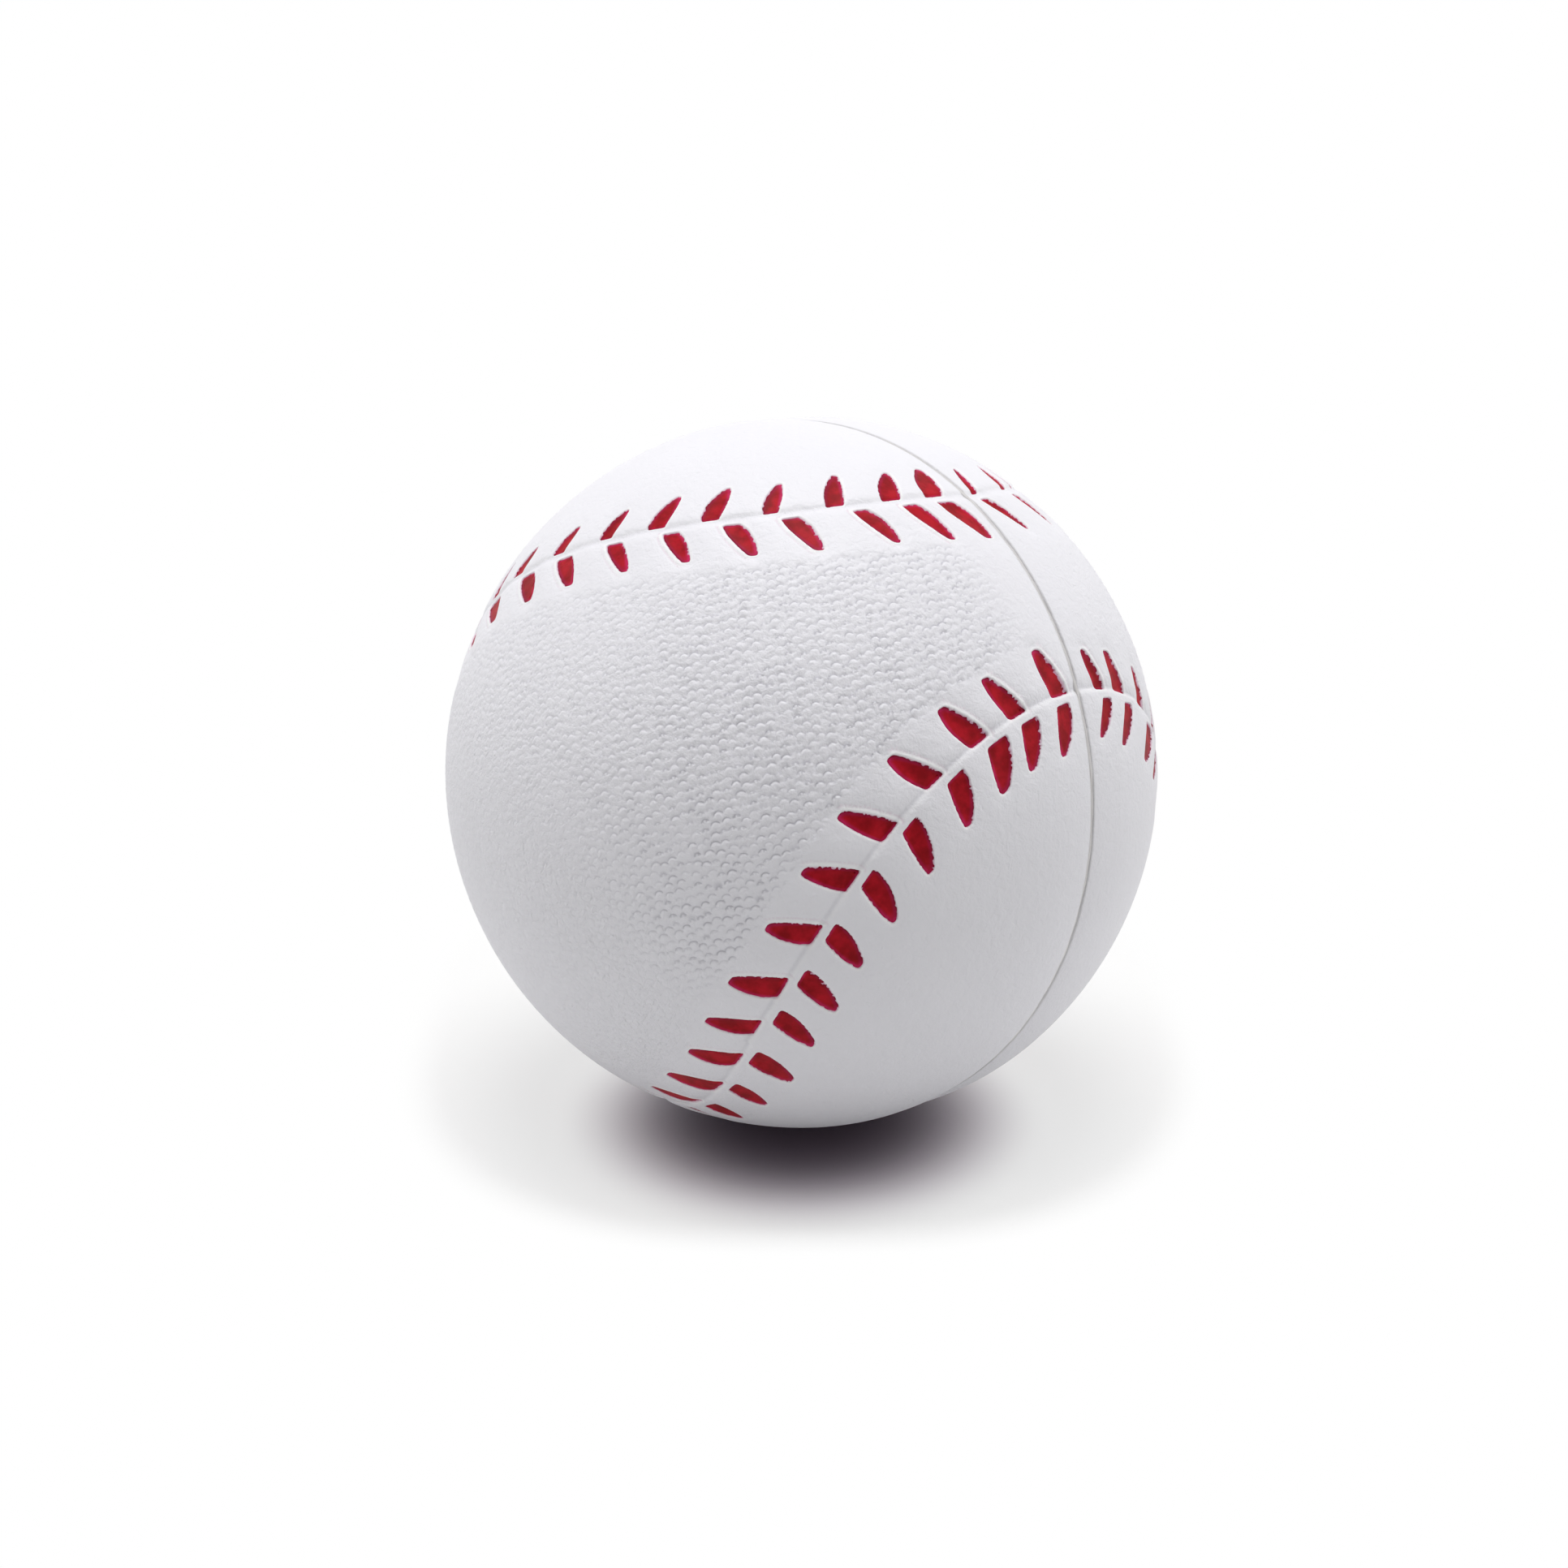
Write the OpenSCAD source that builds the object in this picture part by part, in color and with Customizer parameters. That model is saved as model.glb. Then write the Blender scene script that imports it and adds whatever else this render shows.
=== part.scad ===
// Soft moulded baseball: a foam ball with the seam and the stitches moulded into its skin.
// Origin at the ball's centre, +Z up, in the pose it lies in on a table.
// All lengths in millimetres, all angles in degrees.

/* [Ball] */
// Outside diameter of the ball
ball_d = 63; // [55:0.5:75]
// Thickness of the dense white skin over the soft foam
skin_t = 1.6; // [1.3:0.1:3]

/* [Mould line] */
// Width of the thin web where the two mould halves met
web_t = 0.36; // [0.2:0.02:0.6]
// How far the web lies under the rims beside it
web_drop = 0.1; // [0.05:0.05:0.5]
// Radius of the soft rounding at the rim of each half
rim_r = 20; // [18:0.5:24]
// Angle over which the rim rounds off, seen from the centre
rim_angle = 12; // [8:0.5:14]

/* [Seam] */
// Share that sets how far the seam swings to each side
seam_swing_share = 0.6435; // [0.6:0.0005:0.68]
// Share that squares off the seam's turns
seam_square_share = -0.0171; // [-0.03:0.0001:0.02]
// Width of the seam's groove
groove_w = 0.5; // [0.3:0.05:0.7]
// Depth of the seam's groove
groove_depth = 0.3; // [0.15:0.05:0.4]

/* [Stitch marks] */
// Number of stitch pairs round the whole seam
pair_count = 72; // [60:4:72]
// Distance from the seam to a mark's wide inner end
mark_inner = 0.44; // [0.4:0.02:0.6]
// Distance from the seam to a mark's narrow outer end
mark_outer = 4.05; // [3.4:0.05:4.4]
// Width of a mark at its inner end
mark_w = 1.7; // [1.3:0.05:1.8]
// Width of a mark at its outer end
tip_w = 0.6; // [0.4:0.05:0.8]
// How far a mark bulges on its rounded side
mark_belly = 0.3; // [0.1:0.05:0.4]
// How far the outer end lies behind the inner end
mark_lean = 1.45; // [1:0.05:1.6]
// How far the inner row lies behind the pair's centre
row_a_back = 0.1; // [0:0.05:0.4]
// How far the outer row lies ahead of the pair's centre
row_b_ahead = 1.15; // [0.8:0.05:1.2]
// Depth of the pocket that each mark sits in
pocket_depth = 0.6; // [0.4:0.05:0.9]
// Gap between a mark and the wall of its pocket
pocket_gap = 0.16; // [0.1:0.02:0.2]
// Thickness of the painted film in a pocket
film_t = 0.12; // [0.08:0.02:0.25]

/* [Pose] */
// Turn about X, the first of three
lay_x = -47.56; // [-180:0.01:180]
// Turn about Y, the second
lay_y = -7.57; // [-90:0.01:90]
// Turn about Z, the last
lay_z = -130.26; // [-180:0.01:180]

/* [Output] */
// Which sub-part to draw

/* [Hidden] */
$fn = 96;

ball_r = ball_d / 2;
core_r = ball_r - skin_t;
floor_r = ball_r - pocket_depth;
film_r = floor_r + film_t;
half_pairs = pair_count / 2;
overshoot = skin_t;

// The stitches nearest the mould line stand out of step. Each list holds the shifts along the seam,
// as shares of the pitch, of a half's first three marks and of its last three.
left_a_shift_shares = [[0.25, -0.05, -0.15], [0.1, -0.05, -0.05]];
left_b_shift_shares = [[0.05, -0.1, 0], [0.05, -0.1, -0.2]];
right_a_shift_shares = [[0.15, -0.2, -0.1], [0, -0.05, 0.15]];
right_b_shift_shares = [[0.1, -0.1, 0.15], [0, -0.25, -0.1]];

skin_colour = [0.93, 0.93, 0.94];
foam_colour = [0.90, 0.88, 0.80];
web_colour = [0.72, 0.72, 0.74];
mark_colour = [0.70, 0.09, 0.14];

// Centre of the small circle that rounds the rim; it touches the ball's own circle at rim_angle.
rim_centre = (ball_r - rim_r) * [cos(rim_angle), sin(rim_angle)];
rim_edge_r = rim_centre.x + sqrt(rim_r * rim_r - rim_centre.y * rim_centre.y);

// Small turn over which the seam's direction is measured
turn_step = 0.1;

// The seam on a ball of radius one; turn runs from 0 to 360 once round it.
function seam_flat(turn) =
  let (wide = seam_swing_share, narrow = 1 - seam_swing_share, square = seam_square_share,
       x = wide * cos(turn) + narrow * cos(3 * turn) + square * cos(5 * turn),
       y = wide * sin(turn) - narrow * sin(3 * turn) + square * sin(5 * turn),
       z = 2 * sqrt(wide * narrow) * sin(2 * turn))
  [(x - y) / sqrt(2), (x + y) / sqrt(2), z];

function unit(v) = v / norm(v);
function seam_point(turn) = unit(seam_flat(turn));
function seam_along(turn) = unit(seam_point(turn + turn_step) - seam_point(turn - turn_step));

// Running length of the seam against its turn, so that the stitches can be spaced evenly.
seam_steps = 720;
seam_lengths = [for (i = 0, run = 0; i <= seam_steps;
                     run = run + norm(seam_point((i + 1) * 360 / seam_steps)
                                      - seam_point(i * 360 / seam_steps)),
                     i = i + 1) run];
seam_total = seam_lengths[seam_steps];
turn_table = [for (i = [0 : seam_steps]) [seam_lengths[i] / seam_total, i * 360 / seam_steps]];

// Turn at a share of the seam's length; the shares may run past one.
function seam_turn(share) = lookup(share - floor(share), turn_table);

// Puts its child on the seam: X along the seam, Y towards panel A, Z out of the ball.
module on_seam(share, radius) {
  turn = seam_turn(share);
  out = seam_point(turn);
  along = unit(seam_along(turn) - (seam_along(turn) * out) * out);
  side = cross(out, along);
  multmatrix([[along.x, side.x, out.x, out.x * radius],
              [along.y, side.y, out.y, out.y * radius],
              [along.z, side.z, out.z, out.z * radius],
              [0, 0, 0, 1]])
    children();
}

// Outline of one mark: a wide end at the seam, a narrow end outside, one side bulging.
// row is 1 for panel A's row and -1 for the other, whose bulge is on the other side.
wedge_steps = 4;
module mark_outline(row, start, grow) {
  spans = [for (i = [0 : wedge_steps]) i / wedge_steps];
  back = [for (s = spans)
    [start - mark_lean * s - (mark_w + (tip_w - mark_w) * s) / 2 - grow
       - (row > 0 ? mark_belly * sin(180 * s) : 0),
     row * (mark_inner - grow + (mark_outer - mark_inner + 2 * grow) * s)]];
  ahead = [for (s = spans)
    [start - mark_lean * s + (mark_w + (tip_w - mark_w) * s) / 2 + grow
       + (row < 0 ? mark_belly * sin(180 * s) : 0),
     row * (mark_inner - grow + (mark_outer - mark_inner + 2 * grow) * s)]];
  polygon(concat(back, [for (i = [wedge_steps : -1 : 0]) ahead[i]]));
}

// Shift of pair i of a half, from that half's list for the row.
function shift_share(shares, i) =
  let (ends = len(shares[0]), last = i - half_pairs + ends)
  i < ends ? shares[0][i] : last >= 0 ? shares[1][last] : 0;

// One row of mark-shaped pegs through the skin, over one half of the seam.
module mark_pegs(row, shares, grow) {
  start = row > 0 ? -row_a_back : row_b_ahead;
  for (i = [0 : half_pairs - 1])
    on_seam(5 / 8 + (i + 0.5 + shift_share(shares, i)) / pair_count, core_r)
      linear_extrude(height = skin_t + overshoot)
        mark_outline(row, start, grow);
}

// The pockets of one half, down to their floor.
module pockets(a_shares, b_shares) {
  difference() {
    union() {
      mark_pegs(1, a_shares, pocket_gap);
      mark_pegs(-1, b_shares, pocket_gap);
    }
    sphere(r = floor_r);
  }
}

// The painted film in one row of pockets.
module film(row, shares) {
  color(mark_colour)
    difference() {
      intersection() {
        mark_pegs(row, shares, 0);
        sphere(r = film_r);
      }
      sphere(r = floor_r);
    }
}

// The seam's groove, as short straight cuts that follow the curve.
groove_steps = 144;
groove_lap_share = 1.12;
module groove() {
  step = seam_total * ball_r / groove_steps;
  for (i = [0 : groove_steps - 1])
    on_seam((i + 0.5) / groove_steps, ball_r - groove_depth)
      translate([-step * groove_lap_share / 2, -groove_w / 2, 0])
        cube([step * groove_lap_share, groove_w, groove_depth + overshoot]);
}

// Section of one half, from the mould line's web to the pole. The rim rounds off in short cones.
rim_steps = 4;
module half_section() {
  reach = 2 * ball_r;
  low = asin(-rim_centre.y / rim_r);
  rim = [for (i = [0 : rim_steps])
    let (turn = low + (rim_angle - low) * i / rim_steps)
    rim_centre + rim_r * [cos(turn), sin(turn)]];
  difference() {
    union() {
      intersection() {
        circle(r = ball_r);
        polygon([[0, 0], reach * [cos(rim_angle), sin(rim_angle)], [reach, reach], [0, reach]]);
      }
      polygon(concat([[0, 0]], rim));
    }
    translate([0, -web_t / 2])
      square([reach, web_t]);
  }
}

// One half, over +X of the seam's own frame.
module skin_half(a_shares, b_shares) {
  color(skin_colour)
    difference() {
      rotate([0, 90, 0])
        rotate_extrude()
          half_section();
      sphere(r = core_r);
      pockets(a_shares, b_shares);
      groove();
    }
}

// Turns the seam's own frame into the pose on the table.
module lay() {
  rotate([lay_x, lay_y, lay_z])
    children();
}

// Half a turn about the middle of panel A carries the left half onto the right one.
module twin() {
  rotate([0, 0, 180])
    children();
}

module foam_core() {
  color(foam_colour)
    sphere(r = core_r);
}

module skin_left() {
  lay()
    skin_half(left_a_shift_shares, left_b_shift_shares);
}

module skin_right() {
  lay()
    twin()
      skin_half(right_a_shift_shares, right_b_shift_shares);
}

module mould_web() {
  color(web_colour)
    lay()
      rotate([0, 90, 0])
        rotate_extrude()
          difference() {
            translate([core_r - web_t, -web_t / 2])
              square([rim_edge_r - web_drop - core_r + web_t, web_t]);
            circle(r = core_r);
          }
}

module marks_left_row_a() {
  lay()
    film(1, left_a_shift_shares);
}

module marks_left_row_b() {
  lay()
    film(-1, left_b_shift_shares);
}

module marks_right_row_a() {
  lay()
    twin()
      film(1, right_a_shift_shares);
}

module marks_right_row_b() {
  lay()
    twin()
      film(-1, right_b_shift_shares);
}

foam_core();
skin_left();
skin_right();
mould_web();
marks_left_row_a();
marks_left_row_b();
marks_right_row_a();
marks_right_row_b();
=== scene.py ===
import math

import bpy
import numpy as np
from mathutils import Euler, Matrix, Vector, kdtree
from mathutils.geometry import delaunay_2d_cdt


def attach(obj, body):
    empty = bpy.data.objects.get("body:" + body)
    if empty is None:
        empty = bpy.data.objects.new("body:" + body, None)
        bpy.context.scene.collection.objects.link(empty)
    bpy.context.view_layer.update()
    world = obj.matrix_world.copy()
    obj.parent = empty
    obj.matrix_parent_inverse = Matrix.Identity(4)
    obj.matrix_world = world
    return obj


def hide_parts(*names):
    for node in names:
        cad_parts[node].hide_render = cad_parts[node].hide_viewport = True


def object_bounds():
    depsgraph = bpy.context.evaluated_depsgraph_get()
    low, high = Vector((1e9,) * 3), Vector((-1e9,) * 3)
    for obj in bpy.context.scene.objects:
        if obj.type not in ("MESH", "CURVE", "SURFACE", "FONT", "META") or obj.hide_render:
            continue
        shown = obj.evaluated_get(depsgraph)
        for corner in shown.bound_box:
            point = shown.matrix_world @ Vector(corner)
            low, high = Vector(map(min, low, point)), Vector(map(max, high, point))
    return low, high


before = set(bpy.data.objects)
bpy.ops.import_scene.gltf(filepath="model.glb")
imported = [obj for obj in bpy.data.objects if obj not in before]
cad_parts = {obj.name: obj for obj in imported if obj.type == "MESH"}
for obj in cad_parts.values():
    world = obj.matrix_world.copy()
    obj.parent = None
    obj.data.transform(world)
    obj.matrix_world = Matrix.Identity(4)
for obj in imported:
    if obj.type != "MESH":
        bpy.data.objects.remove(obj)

# Soft moulded baseball: skin, painted marks, mould web and foam core, dressed for looks.
# Lengths are in millimetres up to the making of each mesh; the ball's centre is the origin.
cad_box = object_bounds()
MM = 0.001


def unit(v):
    """The vectors v, each at a length of one."""
    return v / np.linalg.norm(v, axis=-1, keepdims=True)


def smooth(t):
    """Rises smoothly from 0 to 1 as t does."""
    t = np.clip(t, 0, 1)
    return t * t * (3 - 2 * t)


def ramp(value, start, span):
    """Rises smoothly from 0 at start to 1 a span further on."""
    return smooth((value - start) / span)


def bell(gap, width):
    """1 where there is no gap, and hardly anything beyond two widths."""
    return np.exp(-(gap / width) ** 2)


# The ball's own sizes, the same as in the part's source
BALL_R = 31.5
CORE_R = 29.9
WEB_T = 0.36
WEB_LOW = 0.1
RIM_R = 20.0
RIM_ANGLE = math.radians(12)
PAIRS = 72
HALF_PAIRS = PAIRS // 2
FIRST_SHARE = 5 / 8
SWING = 0.6435
SQUARE = -0.0171
LAY = Euler((math.radians(-47.56), math.radians(-7.57), math.radians(-130.26)), "XYZ")
TO_ROW = np.array(LAY.to_matrix())

# Both halves are made in the left half's place. The right one lies half the seam's length further
# on, and half a turn carries it there.
SEAM_OFFSET = {"left": 0.0, "right": 0.5}
TWIN = np.array([-1, -1, 1])

# Right and up in the photo's view, as seen from the left half's own place
RIGHT = np.array([-0.6406, 0.4522, 0.6206])
UP = np.array([-0.1349, -0.8619, 0.4887])


def turned(points, half):
    """Points turned from the left half's place to the half's own, or back."""
    return points if half == "left" else points * TWIN


# The seam

SEAM_STEPS = 5760
SEAM_STOPS = 1440
TURN_STEP = 1e-3
AT_ONCE = 20000

# The middle of the seam's lower run, and the place near the floor where the seam strays
LOWER_SHARE = 0.086
SWAY_MM = 1.2
SWAY_SHARE = 0.951
SWAY_SPAN = 0.0375


def seam_curve(turn):
    """The seam as unit vectors; turn runs once round it."""
    wide = SWING
    narrow = 1 - SWING
    x = wide * np.cos(turn) + narrow * np.cos(3 * turn) + SQUARE * np.cos(5 * turn)
    y = wide * np.sin(turn) - narrow * np.sin(3 * turn) + SQUARE * np.sin(5 * turn)
    z = 2 * math.sqrt(wide * narrow) * np.sin(2 * turn)
    return unit(np.stack([(x - y) / math.sqrt(2), (x + y) / math.sqrt(2), z], -1))


turns = np.linspace(0, 2 * math.pi, SEAM_STEPS + 1)
steps = np.linalg.norm(np.diff(seam_curve(turns), axis=0), axis=1)
running = np.concatenate([[0], np.cumsum(steps)])
SEAM_LENGTH = running[-1]


def seam_frames(share):
    """Point, direction and side towards panel A at shares of the seam's length."""
    share = np.asarray(share, float)
    turn = np.interp((share % 1) * SEAM_LENGTH, running, turns)
    out = seam_curve(turn)
    along = seam_curve(turn + TURN_STEP) - seam_curve(turn - TURN_STEP)
    along = unit(along - np.sum(along * out, -1, keepdims=True) * out)
    return out, along, np.cross(out, along)


seam_shares = np.arange(SEAM_STOPS) / SEAM_STOPS
seam_out, seam_along, seam_side = seam_frames(seam_shares)


def seam_places(points):
    """Share of the seam's length and distance towards panel A, in mm, of unit vectors."""
    share = np.empty(len(points))
    side = np.empty(len(points))
    for i in range(0, len(points), AT_ONCE):
        p = points[i:i + AT_ONCE]
        k = np.argmax(p @ seam_out.T, axis=1)
        share[i:i + AT_ONCE] = seam_shares[k] + np.sum(p * seam_along[k], 1) / SEAM_LENGTH
        lift = np.clip(np.sum(p * seam_side[k], 1), -1, 1)
        side[i:i + AT_ONCE] = np.arcsin(lift) * BALL_R
    return share, side


def drift(share):
    """1 in the middle of the seam's lower run, -1 in the middle of its upper run."""
    return np.cos(2 * math.pi * (share - LOWER_SHARE))


def sway(share):
    """How far, in mm, the whole seam strays off its curve near where the ball rests."""
    return -SWAY_MM * bell(share % 1 - SWAY_SHARE, SWAY_SPAN)


# The marks

# Steps out of rhythm, as shares of the pitch, by pair number from the start of each half
SHIFTS = {
    "left_a": {0: 0.2, 1: -0.05, 2: -0.15, 4: -0.05, 6: 0.05, 7: 0.15, 8: 0.15, 9: 0.3, 10: 0.3,
               11: 0.2, 12: 0.1, 21: -0.05, 22: -0.15, 23: -0.25, 24: -0.4, 25: -0.2, 26: -0.1,
               27: -0.15, 28: -0.2, 29: -0.05, 31: -0.05, 32: 0.05, 33: 0.05, 34: -0.1},
    "left_b": {1: -0.1, 2: -0.05, 3: 0.05, 4: 0.05, 7: 0.1, 8: 0.3, 9: 0.25, 10: 0.15, 11: 0.1,
               22: -0.1, 23: -0.25, 24: -0.35, 25: -0.15, 26: -0.05, 27: 0.1, 29: -0.05,
               31: 0.1, 32: 0.15, 33: 0.1, 34: -0.1, 35: -0.2},
    "right_a": {0: 0.15, 1: -0.2, 2: -0.1, 34: -0.05, 35: 0.15},
    "right_b": {0: 0.1, 1: -0.1, 2: 0.15, 34: -0.25, 35: -0.1},
}

# Marks that came out wider or narrower than the rest, as shares of the usual width
GIRTHS = {
    "left_a": {0: 1.5, 1: 1.1, 2: 0.9, 3: 1.15, 7: 1.25, 8: 1.2, 9: 1.3, 10: 1.15, 11: 1.5,
               24: 1.4, 25: 1.4, 26: 1.1, 28: 1.15, 30: 1.1, 32: 0.9, 34: 0.9, 35: 1.1},
    "left_b": {0: 1.4, 1: 1.2, 3: 0.85, 6: 0.85, 7: 0.9, 11: 1.3, 24: 1.4, 26: 1.25, 33: 1.15},
    "right_a": {0: 0.68, 1: 1.1, 35: 0.8},
    "right_b": {0: 0.72, 1: 0.85, 2: 1.25, 35: 0.6},
}

# Marks that came out longer or shorter than the rest, in mm
REACHES = {
    "left_a": {0: 0.6, 1: 0.25, 4: -0.35, 5: -0.55, 6: -0.5, 7: -0.3, 8: -0.55, 9: -0.6,
               10: -0.5},
    "left_b": {0: 0.3, 2: 0.25, 6: -0.5, 7: -0.8, 8: -0.8, 9: -0.5, 26: 0.35, 27: 0.4, 28: 0.4},
    "right_a": {0: -0.7, 1: -0.7, 2: -0.5},
    "right_b": {0: -0.7},
}

# The usual mark of each row, in mm: each size between the seam's two runs, and what it gains in
# the lower run and loses in the upper one
INNER_PLACE = {"a": (0.06, 0.21), "b": (1.22, -0.13)}
TIP_PLACE = {"a": (-1.65, 0.5), "b": (-0.22, -0.35)}
SEAM_GAP = {"a": (0.085, 0.115), "b": (0.73, -0.17)}
MARK_LENGTH = {"a": (3.93, 0.1), "b": (3.67, 0.21)}
INNER_WIDTH = {"a": (1.86, 0.18), "b": (1.72, 0.0)}
TAPER = {"a": (1.15, 0.15), "b": (1.14, -0.1)}
B_WIDTH_SHARE = (0.985, 0.105)

# How late the taper sets in, and how far the mark swells halfway
TAPER_POWER = {"a": 2.4, "b": 2.6}
SWELL = {"a": 0.0, "b": 0.15}

# How far row b's marks bend: the straight share of their sweep and the bent one
STRAIGHT_SHARE = 0.6
BENT_SHARE = 0.4

# How far row a's inner ends are rounded in the upper run, and over which share of the mark
ROUNDED = 0.2
ROUNDED_SPAN = 0.18

# Between which values each mark's own differences are drawn, in this order
BAND_RANGE = (0.25, 1.0)
GIRTH_RANGE = (0.95, 1.05)
REACH_RANGE = (-0.2, 0.2)
NUDGE_RANGE = (-0.12, 0.12)
BELLY_RANGE = (-0.05, 0.25)
RAGGED_RANGE = (0.7, 1.6)

# Points on each mark's outline, on each of its sides to begin with, and rounds that soften it
RING = 80
SIDE_POINTS = 13
SOFTENINGS = 3

# The torn edge of the paint: its roughness all round, what the torn or the steep sides add, how
# deep its notches are and from which draw on they come, and the most that it may stand out
EVEN_ROUGH = 0.02
SIDE_ROUGH = {"a": 0.06, "b": 0.03}
NOTCH = {"a": 0.15, "b": 0.1}
NOTCH_OVER = 0.78
MOST_PROUD = 0.03

# How ragged the upper run's marks are beside the lower run's
UPPER_RAGGED = 0.6

# Rings of mesh points round a mark: distance out of its outline in mm, and number of points
MARK_RINGS = ((-0.13, 56), (-0.3, 40), (-0.5, 26), (0.06, 76), (0.13, 70), (0.24, 56),
              (0.36, 50), (0.47, 46), (0.6, 40), (0.85, 34), (1.2, 28))
RING_SLACK = 0.04
TINY = 1e-9


def leaning(size, lean):
    """A size of the table above where the drift along the seam is lean."""
    usual, gain = size
    return usual + gain * lean


def resample(points, count):
    """Points evenly spaced on the closed line through the points."""
    closed = np.vstack([points, points[:1]])
    run = np.concatenate([[0], np.cumsum(np.linalg.norm(np.diff(closed, axis=0), axis=1))])
    at = np.arange(count) / count * run[-1]
    return np.stack([np.interp(at, run, closed[:, 0]), np.interp(at, run, closed[:, 1])], -1)


def outline_normals(ring):
    """Outward unit vectors at a ring's points."""
    along = np.roll(ring, -1, axis=0) - np.roll(ring, 1, axis=0)
    return unit(np.stack([along[:, 1], -along[:, 0]], -1))


class Mark:
    """One stitch mark: its frame on the ball and its outline there, u along the seam, v off it."""

    def __init__(self, half, row, pair, random):
        name = half + "_" + row
        share = FIRST_SHARE + (pair + 0.5 + SHIFTS[name].get(pair, 0)) / PAIRS
        self.row = row
        self.out, self.along, self.side = seam_frames(share)
        share = share + SEAM_OFFSET[half]
        lean = drift(share)
        self.band = random.uniform(*BAND_RANGE)
        girth = random.uniform(*GIRTH_RANGE) * GIRTHS[name].get(pair, 1)
        reach = random.uniform(*REACH_RANGE) + REACHES[name].get(pair, 0)
        self.draw_outline(lean, girth, reach, sway(share), random)
        self.tear_edge(lean, random)

    def draw_outline(self, lean, girth, reach, stray, random):
        """The outline, from its wide inner end at the seam to its narrow tip."""
        row = self.row
        s = np.linspace(0, 1, SIDE_POINTS)
        arch = np.sin(math.pi * s)
        nudge = random.uniform(*NUDGE_RANGE, 2)
        belly = random.uniform(*BELLY_RANGE) * arch
        inner = leaning(INNER_PLACE[row], lean)
        sweep = leaning(TIP_PLACE[row], lean) - inner + nudge[1]
        taper = leaning(TAPER[row], lean) * s ** TAPER_POWER[row]
        width = (leaning(INNER_WIDTH[row], lean) + SWELL[row] * arch - taper + belly) * girth
        off = leaning(SEAM_GAP[row], lean) + (leaning(MARK_LENGTH[row], lean) + reach) * s
        if row == "a":
            middle = inner + nudge[0] + sweep * s - belly / 2
            width = width * (1 - ROUNDED * max(-lean, 0) * bell(s, ROUNDED_SPAN))
        else:
            middle = inner + nudge[0] + sweep * (STRAIGHT_SHARE * s + BENT_SHARE * s * s)
            width = width * leaning(B_WIDTH_SHARE, lean)
            off = -off
        off = off + stray
        back = np.stack([middle - width / 2, off], -1)
        ahead = np.stack([middle + width / 2, off], -1)
        loop = np.vstack([back, ahead[::-1]])
        ring = resample(loop[::-1] if row == "a" else loop, RING)
        for _ in range(SOFTENINGS):
            ring = (np.roll(ring, 1, axis=0) + 2 * ring + np.roll(ring, -1, axis=0)) / 4
        self.ring = resample(ring, RING)
        self.normals = outline_normals(self.ring)
        self.tip = np.array([middle[-1], off[-1]])
        self.way = unit(np.array([middle[-1] - middle[0], off[-1] - off[0]]))
        self.off_range = (off[0], off[-1])

    def tear_edge(self, lean, random):
        """The ragged edge of the paint, torn most on one side of the mark."""
        noise = random.standard_normal(RING)
        noise = (noise + np.roll(noise, 1)) / 2
        notch = np.where(random.uniform(0, 1, RING) > NOTCH_OVER, -1.0, 0.0)
        sideways = self.normals[:, 0]
        torn = np.clip(sideways * (1 if lean > 0 else -1), 0, 1)
        ragged = random.uniform(*RAGGED_RANGE) * (1 if lean > 0 else UPPER_RAGGED)
        if self.row == "a":
            rough = noise * (EVEN_ROUGH + SIDE_ROUGH["a"] * ragged * torn)
            rough = rough + notch * NOTCH["a"] * ragged * torn ** 2
        else:
            rough = noise * (EVEN_ROUGH + SIDE_ROUGH["b"] * np.abs(sideways))
            rough = rough + notch * NOTCH["b"] * ragged * torn
        self.edge = self.ring + self.normals * np.minimum(rough, MOST_PROUD)[:, None]

    def place(self, uv):
        """Unit vectors on the ball of points given in mm on the mark's tangent plane."""
        uv = np.atleast_2d(uv) / BALL_R
        up = np.sqrt(1 - np.sum(uv * uv, axis=1))
        return unit(up[:, None] * self.out + uv[:, :1] * self.along + uv[:, 1:] * self.side)

    def local(self, points):
        """Unit vectors near the mark as points in mm on its tangent plane."""
        return np.stack([points @ self.along, points @ self.side], -1) * BALL_R

    def distance(self, uv, ring=None):
        """Distance out of the outline, negative inside, with the outline's own normal there."""
        ring = self.ring if ring is None else ring
        step = np.roll(ring, -1, axis=0) - ring
        rel = uv[:, None, :] - ring[None]
        t = np.clip(np.sum(rel * step, -1) / np.sum(step * step, -1), 0, 1)
        gap = rel - t[..., None] * step
        far = np.sqrt(np.sum(gap * gap, -1))
        k = np.argmin(far, axis=1)
        near = far[np.arange(len(uv)), k]
        x0 = ring[:, 0]
        y0, y1 = ring[:, 1], np.roll(ring[:, 1], -1)
        crosses = (y0[None] > uv[:, 1:]) != (y1[None] > uv[:, 1:])
        rise = np.where(step[:, 1] == 0, TINY, step[:, 1])
        cut = x0[None] + (uv[:, 1:] - y0[None]) * step[None, :, 0] / rise[None]
        inside = np.sum(crosses & (uv[:, :1] < cut), axis=1) % 2 == 1
        return np.where(inside, -near, near), self.normals[k]

    def rings(self):
        """Points that the skin's mesh needs round the mark, with the painted edge among them."""
        found = [self.edge]
        for grow, count in MARK_RINGS:
            ring = resample(self.ring + self.normals * grow, count)
            far, _ = self.distance(ring)
            found.append(ring[np.abs(far - grow) < RING_SLACK])
        return np.vstack(found)


def make_marks(half, seed):
    """Both rows of a half's marks."""
    random = np.random.RandomState(seed)
    return {row: [Mark(half, row, pair, random) for pair in range(HALF_PAIRS)] for row in "ab"}


# The relief: how far the skin lies under the ball's own sphere

CREASE_DEPTH = 0.05
CREASE_W = 0.5

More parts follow.
